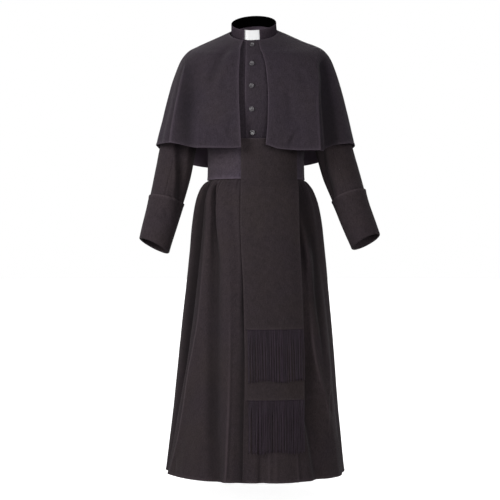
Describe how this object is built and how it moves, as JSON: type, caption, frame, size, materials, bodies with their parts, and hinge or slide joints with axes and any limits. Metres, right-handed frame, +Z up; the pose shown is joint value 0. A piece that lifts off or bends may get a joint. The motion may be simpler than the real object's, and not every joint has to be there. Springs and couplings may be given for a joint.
{
  "type": "cassock",
  "caption": "Worn, hollow floor-length clergy robe with stand collar and white tab, open shoulder cape, turned-back cuffs and a fringed waist sash.",
  "frame": {"origin": "centre of the neck seam, where the collar joins the robe and the garment hangs on its wearer", "axes": "+Z up, the wearer faces -Y and the wearer's left is +X"},
  "size_m": [0.7537, 0.5214, 1.441],
  "materials": {
    "black_cloth": "charcoal black twill suiting, matt with a faint sheen",
    "sash_cloth": "black plain-weave cloth, slightly lighter and smoother than the robe",
    "fringe_cord": "twisted black rayon fringe",
    "tab_plastic": "smooth satin white",
    "button_plastic": "polished black, dished face"
  },
  "bodies": {
    "root": {"bodice_front_right": "black_cloth", "bodice_front_left": "black_cloth", "bodice_back": "black_cloth", "skirt_front_right": "black_cloth", "skirt_front_left": "black_cloth", "skirt_back_right": "black_cloth", "skirt_back_left": "black_cloth", "cape_front_right": "black_cloth", "cape_front_left": "black_cloth", "cape_back": "black_cloth", "sleeve_right_upper": "black_cloth", "sleeve_right_under": "black_cloth", "cuff_right": "black_cloth", "sleeve_left_upper": "black_cloth", "sleeve_left_under": "black_cloth", "cuff_left": "black_cloth", "collar": "black_cloth", "collar_tab": "tab_plastic", "sash_band": "sash_cloth", "sash_end_upper": "sash_cloth", "sash_end_lower": "sash_cloth", "sash_fringe_upper": "fringe_cord", "sash_fringe_lower": "fringe_cord", "button_1": "button_plastic", "button_2": "button_plastic", "button_3": "button_plastic", "button_4": "button_plastic", "button_5": "button_plastic"}
  },
  "joints": []
}
